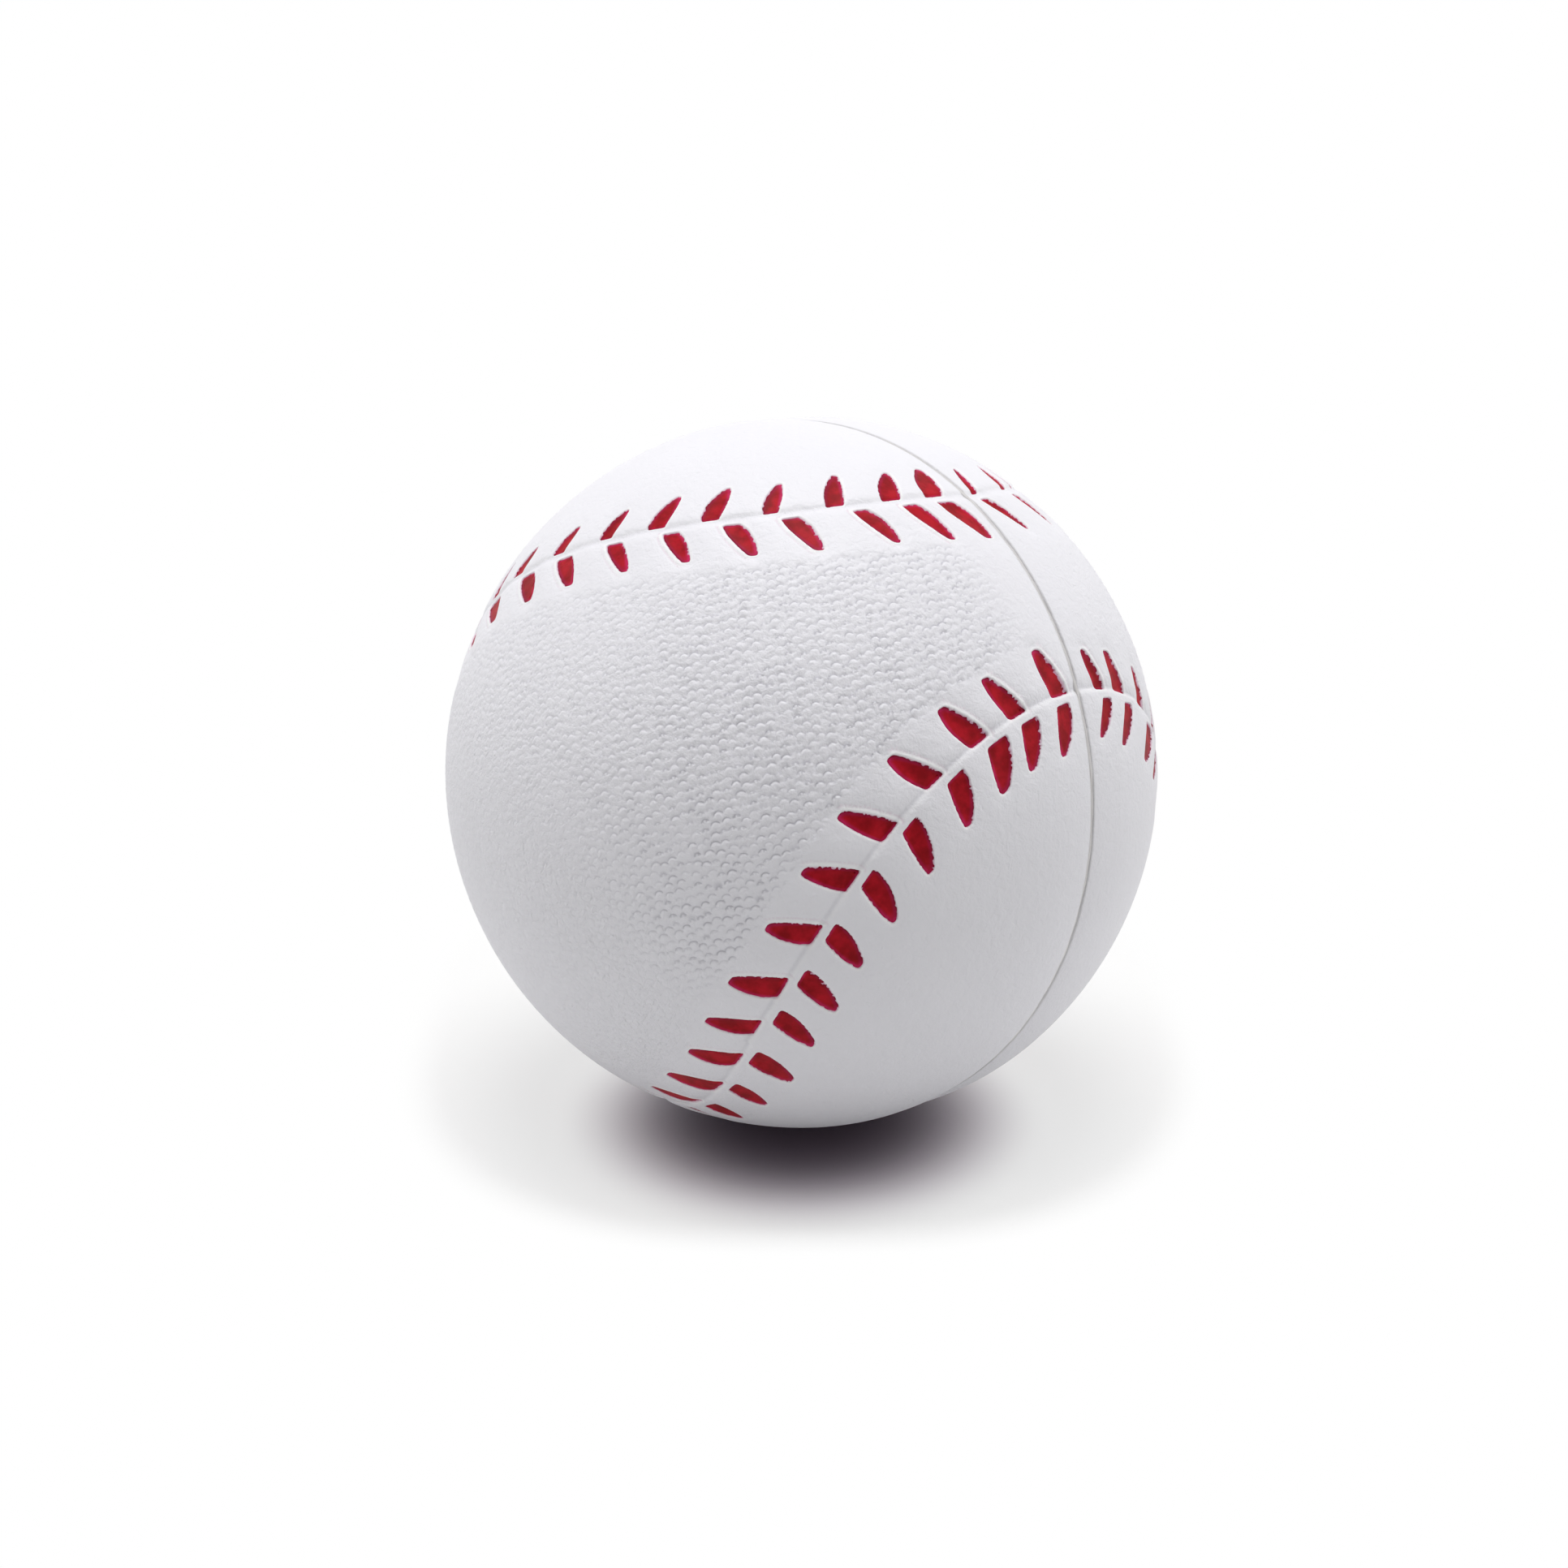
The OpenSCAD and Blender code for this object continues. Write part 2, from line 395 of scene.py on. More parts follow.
# Each lump's way, whose length is how tightly it repeats, and its phase
LUMPS = [((1.3, 2.1, -0.7), 0.4), ((-2.4, 0.9, 1.8), 2.0), ((0.6, -3.1, 2.2), 4.1),
         ((4.2, 1.7, 3.0), 1.2), ((-3.6, 4.4, -2.9), 5.3), ((6.5, -5.2, 4.8), 3.3)]
LUMP_DEPTH = 0.045

# The groove lies beside the seam's curve, gentle on panel A's side and steep on the other
GROOVE_DEPTH = 0.16
GROOVE_OFF = -0.22
GROOVE_DRIFT = 0.6
GROOVE_GENTLE = 0.6
GROOVE_STEEP = 0.26

# The pebbles: distance between them, their radius and height, and the crease over their upper edge
PEBBLE_GAP = 0.88
PEBBLE_R = 0.40
PEBBLE_H = 0.10
PEBBLE_CREASE = 0.085
PEBBLE_SIZES = (0.8, 1.15)
PEBBLE_HEIGHTS = (0.4, 1.1)

# The way towards the high edge of every pebble
PEBBLE_UP = unit(UP - 0.35 * RIGHT)

# Where each fade of the pebbles and the streaks begins, and over how much it rises: with the
# distance in mm from the mould line or the seam, or with the way down the ball as the photo sees it
LEFT_FADE = (3, 5.5)
RIGHT_FADE = (9, 10)
SEAM_FADE = (4.2, 1.2)
STREAK_FADE = (2, 6)
STREAK_SEAM_FADE = (3.5, 3)
LOW_FADE = (0.44, 0.3)
LOWEST_FADE = (0.44, 0.2)


def rim_dip(points):
    """The soft rounding of each half towards the mould line, and the small crease beside it."""
    angle = np.arcsin(np.clip(np.abs(points[:, 0]), 0, 1))
    short = BALL_R - RIM_R
    turn = RIM_ANGLE - np.minimum(angle, RIM_ANGLE)
    radius = short * np.cos(turn) + np.sqrt(RIM_R ** 2 - (short * np.sin(turn)) ** 2)
    return BALL_R - radius + CREASE_DEPTH * bell(angle * BALL_R, CREASE_W)


def lumps(points):
    """The slight unevenness of the whole skin."""
    total = np.zeros(len(points))
    for way, phase in LUMPS:
        total += (1 - np.sin(points @ np.array(way) + phase)) / len(LUMPS)
    return LUMP_DEPTH * total


def groove_off(share):
    """Where the groove lies beside the seam's curve, in mm towards panel A."""
    return GROOVE_OFF + GROOVE_DRIFT * drift(share) + sway(share)


def groove(share, side):
    """Depth of the seam's groove."""
    off = side - groove_off(share)
    gentle = bell(np.maximum(off, 0), GROOVE_GENTLE)
    steep = bell(np.minimum(off, 0), GROOVE_STEEP)
    return GROOVE_DEPTH * np.where(off > 0, gentle, steep)


def panel_masks(points, side, half):
    """Pebbles on panel A, gone by the mould line and the stitches, and streaks where they fade."""
    reach = np.abs(points[:, 0]) * BALL_R
    own = turned(points, half)
    right = own @ RIGHT
    up = own @ UP
    if half == "left":
        plane = ramp(reach, *LEFT_FADE) * (1 - 0.3 * smooth(-right * 2.5 - 0.5))
    else:
        plane = 0.8 * ramp(reach, *RIGHT_FADE)
    low = ramp(-right * 0.8 - up * 0.6, *LOW_FADE)
    lowest = ramp(-up, *LOWEST_FADE)
    pebbles = plane * ramp(side, *SEAM_FADE) * (1 - 0.6 * low) * (1 - 0.85 * lowest)
    streaks = ramp(reach, *STREAK_FADE) * ramp(side, *STREAK_SEAM_FADE) * (0.35 + 0.65 * low)
    return pebbles, streaks


# The mesh's points

RIM_COUNT = 760
RIM_X = WEB_T / 2

# Rings of points beside the mould line: distance from it in mm, number of points and phase
RIM_RINGS = ((0.42, 700, 0.5), (0.75, 560, 0), (1.3, 400, 0.5), (2.1, 300, 0))

# Lines of points along the groove: distances from its middle, then their stretch and step
LANES = (-0.45, -0.22, -0.1, 0, 0.15, 0.35, 0.6, 0.95)
LANE_START = 0.6
LANE_END = 1.15
LANE_STEP = 0.3

# Points in between: within NEAR_OFF of the seam they lie NEAR_GAP apart, elsewhere WIDE_GAP
NEAR_OFF = 6.5
NEAR_GAP = 0.5
WIDE_GAP = 0.85

# How far each kind of point stays from the points that come before it
MARK_CLEAR = 0.12
LANE_CLEAR = 0.09
NEAR_CLEAR = 0.26
WIDE_CLEAR = 0.4

# The least x that a half's points may have, as a share of the radius
LANES_FROM = 0.02
NEAR_FROM = 0.08
WIDE_FROM = 0.09
RINGS_FROM = (RIM_X + 0.1) / BALL_R

# Pebbles begin this far from the seam, where at least this much of their height is left
PEBBLE_SIDE = 3.5
PEBBLE_LEAST = 0.06
PEBBLE_JITTER = 0.5

# Arcs of points round a pebble: reach as a share of its size, first and last degree, and number
PEBBLE_ARCS = ((1.0, -75, 75, 8), (0.78, -90, 90, 7), (1.24, -60, 60, 6), (0.4, -60, 60, 3),
               (0.85, 120, 240, 4))
THIN_GAP = 0.085

# A pebble's form, in shares of its size: it tilts up towards its high edge, ends at PEBBLE_END, and
# the crease runs over its upper edge at CREASE_AT. Each point asks this many pebbles near it.
PEBBLE_MIDDLE = 0.6
PEBBLE_TILT = 0.4
PEBBLE_END = 1.1
UPPER_FADE = (0.15, 0.5)
CREASE_AT = 1.03
CREASE_SPAN = 0.16
PEBBLES_NEAR = 4

# How crowded points are pushed apart: neighbours looked at, gap asked for and share of each push
NEIGHBOURS = 6
LOOSE = 1.08
PUSH = 0.3
LEAST_FAR = 1e-6

# Share of its square that a point fills, and a way that none of the points in use lies on
PACKING = 0.87
ODD_WAY = np.array([0.31, 0.17, 0.94])
FLAT_SLACK = 1e-7


def fibonacci(gap):
    """Points about gap mm apart all over the ball, as unit vectors."""
    count = int(4 * math.pi * BALL_R ** 2 / (gap * gap * PACKING))
    k = np.arange(count) + 0.5
    x = 1 - 2 * k / count
    turn = k * math.pi * (3 - math.sqrt(5))
    flat = np.sqrt(1 - x * x)
    return np.stack([x, flat * np.cos(turn), flat * np.sin(turn)], -1)


def fibonacci_half(gap, low):
    """The same points, of those with x over low."""
    points = fibonacci(gap)
    return points[points[:, 0] > low]


def tangents(points):
    """Two unit vectors square to each point and to each other."""
    east = unit(np.cross(points, ODD_WAY))
    return east, np.cross(points, east)


def tree_of(points):
    """A tree that finds the points near a place."""
    tree = kdtree.KDTree(len(points))
    for i, p in enumerate(points.tolist()):
        tree.insert(p, i)
    tree.balance()
    return tree


def far_from(points, others, gap):
    """The points that lie gap mm or more from all the others."""
    tree = tree_of(others)
    return points[np.array([tree.find(p)[2] * BALL_R >= gap for p in points.tolist()], bool)]


def thinned(points, gap):
    """The points that lie gap mm or more from each earlier one."""
    tree = tree_of(points)
    keep = np.ones(len(points), bool)
    for i, p in enumerate(points.tolist()):
        if keep[i]:
            for _, k, _ in tree.find_range(p, gap / BALL_R):
                if k > i:
                    keep[k] = False
    return points[keep]


def spread(points, gap, rounds=8):
    """Pushes crowded points apart until they lie about gap mm from each other, in no long rows."""
    for _ in range(rounds):
        tree = tree_of(points)
        near = np.array([[f[1] for f in tree.find_n(p, NEIGHBOURS + 1)[1:]]
                         for p in points.tolist()])
        away = (points[:, None] - points[near]) * BALL_R
        far = np.linalg.norm(away, axis=2, keepdims=True) + LEAST_FAR
        push = np.sum(np.maximum(LOOSE * gap - far, 0) * away / far, axis=1)
        points = unit(points + PUSH * push / BALL_R)
    return points


def triangulate(points):
    """Triangles between unit vectors that all lie at x over -1, seen from outside the ball."""
    flat = points[:, 1:] / (1 + points[:, :1])
    _, _, faces, origins, _, _ = delaunay_2d_cdt(
        [tuple(p) for p in flat.tolist()], [], [], 0, FLAT_SLACK, True)
    back = [o[0] for o in origins]
    tris = np.array([[back[i] for i in f] for f in faces if len(f) == 3])
    a, b, c = flat[tris[:, 0]], flat[tris[:, 1]], flat[tris[:, 2]]
    area = (b[:, 0] - a[:, 0]) * (c[:, 1] - a[:, 1]) - (b[:, 1] - a[:, 1]) * (c[:, 0] - a[:, 0])
    tris[area < 0] = tris[area < 0][:, ::-1]
    return tris


def rim_ring(x, count=RIM_COUNT, phase=0.0):
    """A ring of points in the plane x mm from the mould line's middle."""
    turn = (np.arange(count) + phase) / count * 2 * math.pi
    flat = math.sqrt(1 - (x / BALL_R) ** 2)
    return np.stack([np.full(count, x / BALL_R), flat * np.cos(turn), flat * np.sin(turn)], -1)


def uphill(points, half):
    """The way on the ball, at each point, towards a pebble's high edge."""
    high = turned(PEBBLE_UP, half)
    return unit(high - np.sum(high * points, 1, keepdims=True) * points)


def pebble_points(half, random):
    """Centres, sizes and heights of the pebbles, and all the mesh points round them."""
    centres = fibonacci_half(PEBBLE_GAP, NEAR_FROM)
    _, side = seam_places(centres)
    centres = centres[side > PEBBLE_SIDE]
    east, north = tangents(centres)
    push = random.uniform(-PEBBLE_JITTER, PEBBLE_JITTER, (len(centres), 2)) / BALL_R
    centres = spread(unit(centres + push[:, :1] * east + push[:, 1:] * north), PEBBLE_GAP)
    _, side = seam_places(centres)
    centres = centres[panel_masks(centres, side, half)[0] > PEBBLE_LEAST]
    size = PEBBLE_R * random.uniform(*PEBBLE_SIZES, len(centres))
    height = random.uniform(*PEBBLE_HEIGHTS, len(centres))
    way = uphill(centres, half)
    across = np.cross(centres, way)
    found = [centres]
    for reach, start, end, count in PEBBLE_ARCS:
        for turn in np.radians(np.linspace(start, end, count)):
            step = (reach / BALL_R) * size[:, None]
            found.append(unit(centres + step * (math.cos(turn) * way + math.sin(turn) * across)))
    return centres, size, height, thinned(np.vstack(found), THIN_GAP)


def pebble_rise(half, points, centres, size, height):
    """Height of the pebbles and depth of the crease over each one's upper edge, both up to 1."""
    tree = tree_of(centres)
    found = np.array([[f[1] for f in tree.find_n(p, PEBBLES_NEAR)] for p in points.tolist()])
    rise = np.zeros(len(points))
    crease = np.zeros(len(points))
    for k in found.T:
        rel = (points - centres[k]) * BALL_R
        gap = np.linalg.norm(rel, axis=1) / size[k]
        slant = np.sum(rel * uphill(centres[k], half), 1) / size[k]
        scale = (PEBBLE_MIDDLE + PEBBLE_TILT * slant) * np.clip(1 - (gap / PEBBLE_END) ** 3, 0, 1)
        rise = np.maximum(rise, height[k] * scale)
        upper = ramp(slant / np.maximum(gap, 0.1), *UPPER_FADE)
        crease = np.maximum(crease, height[k] * upper * bell(gap - CREASE_AT, CREASE_SPAN))
    return rise, crease


def lane_points(half):
    """Points along the groove."""
    run = np.arange(LANE_START, LANE_END, LANE_STEP / BALL_R / SEAM_LENGTH)
    out, _, side = seam_frames(run)
    lanes = []
    for off in LANES:
        turn = (groove_off(run + SEAM_OFFSET[half]) + off) / BALL_R
        lanes.append(out * np.cos(turn)[:, None] + side * np.sin(turn)[:, None])
    lanes = np.vstack(lanes)
    return lanes[lanes[:, 0] > LANES_FROM]


def mesh_points(half, every, pebbles):
    """All the mesh points of one half as unit vectors. The first RIM_COUNT are the rim's ring."""
    rings = np.vstack([m.place(m.rings()) for m in every])
    beside = np.vstack([rim_ring(*ring) for ring in RIM_RINGS])
    beside = far_from(beside, rings, MARK_CLEAR)
    lanes = far_from(lane_points(half), rings, LANE_CLEAR)
    rings = rings[rings[:, 0] > RINGS_FROM]
    pebbles = far_from(pebbles, rings, MARK_CLEAR)
    held = np.vstack([rim_ring(RIM_X), beside, rings, lanes, pebbles])
    near = fibonacci_half(NEAR_GAP, NEAR_FROM)
    near = near[np.abs(seam_places(near)[1]) < NEAR_OFF]
    wide = fibonacci_half(WIDE_GAP, WIDE_FROM)
    wide = wide[np.abs(seam_places(wide)[1]) >= NEAR_OFF]
    near = far_from(near, held, NEAR_CLEAR)
    wide = far_from(wide, held, WIDE_CLEAR)
    return unit(np.vstack([held, near, wide]))


# The relief and the paint of the marks

# By row: the soft hollow round a mark, its floor in the middle and at the wall, both of which rise
# towards the tip, and its wall, which is less steep at the back
HOLLOW_DEPTH = {"a": 0.12, "b": 0.07}
HOLLOW_W = {"a": 0.95, "b": 0.7}
FLOOR_MIDDLE = {"a": 0.3, "b": 0.28}
FLOOR_EDGE = 0.15
MIDDLE_RISE = 0.12
EDGE_RISE = 0.04
BOWL_W = 0.3
WALL_W = 0.06
WALL_BACK = {"a": 0.05, "b": 0.03}

# Beside a torn edge the skin stands up in a lip, and then dips
LIP = 0.05
LIP_OFF = 0.18
LIP_W = 0.1
DIP = 0.06
DIP_OFF = 0.44
DIP_W = 0.09

# The painted highlight round a mark, and the one on a torn side
BAND_OFF = 0.12
BAND_W = 0.1
TORN_BAND_OFF = 0.26
TORN_BAND_W = 0.12

# The pink stain of thin paint right round the paint, and the painted pink shade in the dip
STAIN = 0.7
STAIN_W = 0.03
DIP_SHADE = 0.2
DIP_SHADE_W = 0.06

# From a mark's tip a crease runs on over the skin
TIP_CREASE = 0.06
TIP_CREASE_LENGTH = 1.3
TIP_CREASE_W = 0.35

# Reach of a mark's relief, and how near the torn edge a point still counts as painted
MARK_REACH = 8
PAINT_SLACK = 0.004

# Painted shadow: the paint is darker where the wall that it lies under shades it, over about this
# width
WALL_SHADOW_FADE = (-0.1, 0.6)
WALL_SHADOW_W = 0.28

# The painted shade line in the groove and the painted highlight beside it: strength, place and
# width
GROOVE_SHADE = 0.42
SHADE_OFF = 0.1
SHADE_W = 0.15
GROOVE_HIGHLIGHT = 0.3
HIGHLIGHT_OFF = -0.25
HIGHLIGHT_W = 0.16

# Width of the dirt beside the mould line, and the least of the pebbles' mask that counts
LINE_W = 0.13
GRAIN_LEAST = 0.02


def press_mark(data, number, mark):
    """Sinks one mark into the relief, and notes in the masks its paint, its painted highlights, its
    pink stain and its painted shade.
    """
    points, stain_and_shade, edge = data["points"], data["stain_and_shade"], data["edge"]
    row = mark.row
    close = np.nonzero(points @ mark.out > math.cos(MARK_REACH / BALL_R))[0]
    uv = mark.local(points[close])
    far, normal = mark.distance(uv)
    sideways = normal[:, 0]
    first, last = mark.off_range
    span = np.clip((uv[:, 1] - first) / (last - first), 0, 1)
    floor_edge = FLOOR_EDGE - EDGE_RISE * span
    floor_middle = FLOOR_MIDDLE[row] - MIDDLE_RISE * span
    wall = WALL_W + WALL_BACK[row] * np.clip(-sideways, 0, 1)
    outside = np.maximum(far, 0)
    bowl = floor_edge + (floor_middle - floor_edge) * (1 - np.exp(np.minimum(far, 0) / BOWL_W))
    extra = HOLLOW_DEPTH[row] * bell(outside, HOLLOW_W[row])
    extra += floor_edge * (1 - smooth(far / wall)) * (far > 0)
    extra += np.where(far <= 0, bowl, 0)
    # Painted highlight round the mark; on row a it is strongest on the lit torn side
    band = bell(far - BAND_OFF, BAND_W)
    if row == "a":
        lit = ramp(sideways, 0.3, 0.3) * mark.band
        extra -= LIP * lit * bell(far - LIP_OFF, LIP_W)
        extra += DIP * lit * bell(far - DIP_OFF, DIP_W)
        rel = uv - mark.tip
        t = np.clip(rel @ mark.way, 0, TIP_CREASE_LENGTH)
        beside = np.linalg.norm(rel - t[:, None] * mark.way, axis=1)
        fade = 1 - t / TIP_CREASE_LENGTH
        extra += TIP_CREASE * bell(beside, TIP_CREASE_W) * fade * (far > 0.13)
        # Painted shade in the dip beyond the lit side
        dip_shade = DIP_SHADE * lit * bell(far - DIP_OFF, DIP_SHADE_W)
        stain_and_shade[close] = np.maximum(stain_and_shade[close], dip_shade)
        band = np.maximum(0.6 * band, lit * bell(far - TORN_BAND_OFF, TORN_BAND_W))
    else:
        band = band * (0.2 + 0.6 * smooth((0.2 - sideways) / 0.5))
    data["depth"][close] += extra
    stain_and_shade[close] = np.maximum(stain_and_shade[close], STAIN * bell(outside, STAIN_W))
    edge[close] = np.maximum(edge[close], band)
    far_edge, _ = mark.distance(uv, mark.edge)
    painted = far_edge < PAINT_SLACK
    mine = close[painted]
    data["owner"][mine] = number
    data["inner"][mine] = -far[painted]
    data["span"][mine] = span[painted]
    # Painted shadow on the paint beside the wall that shades it
    data["wall_shadow"][mine] = ramp(sideways[painted], *WALL_SHADOW_FADE) * np.exp(far[painted] / WALL_SHADOW_W)


def half_mesh(half, marks, seed):
    """Points, triangles, relief and colour masks of one half, in the left half's own place."""
    every = marks["a"] + marks["b"]
    centres, size, height, pebbles = pebble_points(half, np.random.RandomState(seed))
    points = mesh_points(half, every, pebbles)
    share, side = seam_places(points)
    share = share + SEAM_OFFSET[half]
    depth = rim_dip(points) + lumps(turned(points, half))
    depth += groove(share, side)
    grain, streak = panel_masks(points, side, half)
    some = np.nonzero(grain > GRAIN_LEAST)[0]
    rise, crease = pebble_rise(half, points[some], centres, size, height)
    depth[some] += grain[some] * (PEBBLE_H * (1 - rise) + PEBBLE_CREASE * crease)
    off = side - groove_off(share)
    there = (0.65 + 0.35 * drift(share)) * (1 + 0.7 * sway(share))
    # Painted shade along the groove, and in the creases over the pebbles' upper edges
    shade = GROOVE_SHADE * there * bell(off - SHADE_OFF, SHADE_W)
    shade[some] = np.maximum(shade[some], grain[some] ** 1.5 * crease)
    # The edge mask starts with the painted highlight beside the groove
    data = {"points": points, "tris": triangulate(points), "marks": every, "depth": depth,
            "streak": streak, "shade": shade,
            "edge": GROOVE_HIGHLIGHT * there * bell(off - HIGHLIGHT_OFF, HIGHLIGHT_W),
            "line": bell(np.abs(points[:, 0]) * BALL_R - RIM_X, LINE_W),
            "owner": np.full(len(points), -1)}
    for key in ("stain_and_shade", "inner", "span", "wall_shadow"):
        data[key] = np.zeros(len(points))
    for number, mark in enumerate(every):
        press_mark(data, number, mark)
    return data


# The pieces

SKIN_MASKS = ("streak", "line", "stain_and_shade", "edge", "shade")
INSIDE_GAP = 2.6

# The paint film: its thickness at the edge, how much more it has inside, and its lift off the skin
FILM_EDGE = 0.012
FILM_MORE = 0.035
FILM_MORE_W = 0.2
FILM_LIFT = 0.003

WEB_STEPS = 900
WEB_PLAY = 0.004
WEB_BEVEL = 0.03
WEB_ROOT = 0.02

# The unevenness of the web's edge: its height, and the waves' number round the ball and phase
WEB_WAVE = 0.02
WEB_WAVES = ((7, 0.6), (23, 2), (61, 0))

CORE_GAP = 1.3
CORE_RING = 150
CORE_PLAY = 0.04
CORE_BUMP = 0.02
CORE_WAVES = np.array([[61.0, 17.0, -39.0], [-23.0, 57.0, 31.0]])


def to_row(points, half):
    """From the left half's place to the half's own, in the part's frame and in metres."""
    return turned(points, half) @ TO_ROW.T * MM


def new_piece(name, verts, faces, material, attributes=None):
    """A smooth-shaded mesh object at the origin, with a value for each point in its attributes."""
    mesh = bpy.data.meshes.new(name)
    mesh.from_pydata([tuple(v) for v in verts.tolist()], [], faces)
    mesh.update()
    for key, values in (attributes or {}).items():
        layer = mesh.attributes.new(key, "FLOAT", "POINT")
        layer.data.foreach_set("value", np.asarray(values, np.float32))
    mesh.shade_smooth()
    mesh.materials.append(material)
    obj = bpy.data.objects.new(name, mesh)
    bpy.context.scene.collection.objects.link(obj)
    return obj


def outer_places(data):
    """Places in mm of the skin's outer points; the rim's own ring stays in one plane."""
    radius = BALL_R - data["depth"]
    places = data["points"] * radius[:, None]
    rim = places[:RIM_COUNT]
    flat = np.sqrt(radius[:RIM_COUNT] ** 2 - RIM_X ** 2)
    rim[:, 1:] = unit(rim[:, 1:]) * flat[:, None]
    rim[:, 0] = RIM_X
    return places


def skin_piece(half, data, material):
    """A closed shell: the relief outside, a plain dome inside, a flat rim between them."""
    outer = outer_places(data)
    inside = unit(np.vstack([rim_ring(RIM_X), fibonacci_half(INSIDE_GAP, 0.06)]))
    inner_tris = triangulate(inside)[:, ::-1] + len(outer)
    inner = inside * CORE_R
    inner[:RIM_COUNT, 0] = RIM_X
    inner[:RIM_COUNT, 1:] = unit(inner[:RIM_COUNT, 1:]) * math.sqrt(CORE_R ** 2 - RIM_X ** 2)
    k = np.arange(RIM_COUNT)
    n = (k + 1) % RIM_COUNT
    wall = np.stack([k, k + len(outer), n + len(outer), n], -1)
    faces = data["tris"].tolist() + inner_tris.tolist() + wall.tolist()
    pad = np.zeros(len(inner))
    masks = {key: np.concatenate([data[key], pad]) for key in SKIN_MASKS}
    verts = to_row(np.vstack([outer, inner]), half)
    return new_piece("skin_half_" + half, verts, faces, material, masks)


def point_normals(places, tris):
    """Unit normals of a mesh at its points."""
    a, b, c = places[tris[:, 0]], places[tris[:, 1]], places[tris[:, 2]]
    face_normal = np.cross(b - a, c - a)
    normal = np.zeros_like(places)
    for k in range(3):
        np.add.at(normal, tris[:, k], face_normal)
    return unit(normal)


def painted_tris(data, outer):
    """Which triangles of the skin lie inside a mark's painted edge."""
    tris, owner = data["tris"], data["owner"]
    a, b, c = outer[tris[:, 0]], outer[tris[:, 1]], outer[tris[:, 2]]
    same = (owner[tris[:, 0]] >= 0) & (owner[tris[:, 0]] == owner[tris[:, 1]])
    same &= owner[tris[:, 1]] == owner[tris[:, 2]]
    middle = unit((a + b + c) / 3)
    keep = np.zeros(len(tris), bool)
    for number, mark in enumerate(data["marks"]):
        mine = np.nonzero(same & (owner[tris[:, 0]] == number))[0]
        far, _ = mark.distance(mark.local(middle[mine]), mark.edge)
        keep[mine[far < 0]] = True
    return keep


def paint_pieces(half, data, material):
    """The painted film of each row, lying on the skin inside each mark's painted edge."""
    outer = outer_places(data)
    tris, owner = data["tris"], data["owner"]
    normal = point_normals(outer, tris)
    keep = painted_tris(data, outer)
    pieces = []
    for row, first in (("a", 0), ("b", HALF_PAIRS)):
        chosen = keep & (owner[tris[:, 0]] >= first) & (owner[tris[:, 0]] < first + HALF_PAIRS)
        film = tris[chosen]
        used, index = np.unique(film, return_inverse=True)
        film = index.reshape(film.shape)
        count = len(used)
        inner = data["inner"][used]
        sides = np.concatenate([film[:, [0, 1]], film[:, [1, 2]], film[:, [2, 0]]])
        ways = {(i, j) for i, j in sides.tolist()}
        border = np.array([(i, j) for i, j in sides.tolist() if (j, i) not in ways])
        on_border = np.zeros(count, bool)
        on_border[border.ravel()] = True
        more = FILM_EDGE + FILM_MORE * smooth(inner / FILM_MORE_W)
        thick = np.where(on_border, FILM_EDGE, more)
        top = outer[used] + normal[used] * thick[:, None]
        low = outer[used] + normal[used] * FILM_LIFT
        start, end = border[:, 0], border[:, 1]
        walls = np.stack([end, start, start + count, end + count], -1)
        faces = film.tolist() + (film[:, ::-1] + count).tolist() + walls.tolist()
        masks = {"inner": np.tile(np.clip(inner / 0.4, 0, 1), 2),
                 "span": np.tile(data["span"][used], 2), "wall_shadow": np.tile(data["wall_shadow"][used], 2)}
        verts = to_row(np.vstack([top, low]), half)
        pieces.append(new_piece("paint_" + half + "_row_" + row, verts, faces, material, masks))
    return pieces


def web_piece(material):
    """The thin web at the mould line, its outer edge a little uneven."""
    turn = np.arange(WEB_STEPS) / WEB_STEPS * 2 * math.pi
    rim = BALL_R - rim_dip(np.array([[RIM_X / BALL_R, 1, 0]]))[0]
    uneven = sum(WEB_WAVE * np.sin(number * turn + phase) for number, phase in WEB_WAVES)
    top = rim - WEB_LOW + uneven
    half = WEB_T / 2 - WEB_PLAY
    root = np.full(WEB_STEPS, CORE_R + WEB_ROOT)
    profile = [(-half, root), (-half, top - WEB_BEVEL), (-half * 0.5, top),
               (half * 0.5, top), (half, top - WEB_BEVEL), (half, root)]
    rows = [np.stack([np.full(WEB_STEPS, x), radius * np.cos(turn), radius * np.sin(turn)], -1)
            for x, radius in profile]
    faces = []
    for r in range(len(rows)):
        here = r * WEB_STEPS
        there = (r + 1) % len(rows) * WEB_STEPS
        for k in range(WEB_STEPS):
            n = (k + 1) % WEB_STEPS
            faces.append((here + k, here + n, there + n, there + k))
    return new_piece("mould_line_web", to_row(np.vstack(rows), "left"), faces, material)


def core_piece(material):
    """The foam body inside the skin, with the fine unevenness of open foam."""
    points = fibonacci(CORE_GAP)
    ring = rim_ring(0.0, CORE_RING)
    faces = []
    verts = [ring]
    start = len(ring)
    for sign in (1, -1):
        dome = points[points[:, 0] * sign > 0.03] * [sign, 1, 1]
        tris = triangulate(np.vstack([ring, dome]))
        index = np.concatenate([np.arange(len(ring)), start + np.arange(len(dome))])
        tris = index[tris]
        faces += (tris if sign > 0 else tris[:, ::-1]).tolist()
        verts.append(dome * [sign, 1, 1])
        start += len(dome)
    verts = np.vstack(verts)
    bumps = CORE_BUMP * np.sin(verts @ CORE_WAVES[0])
    bumps *= np.sin(verts @ CORE_WAVES[1])
    verts = unit(verts) * (CORE_R - CORE_PLAY + bumps)[:, None]
    return new_piece("foam_body", to_row(verts, "left"), faces, material)


# Materials

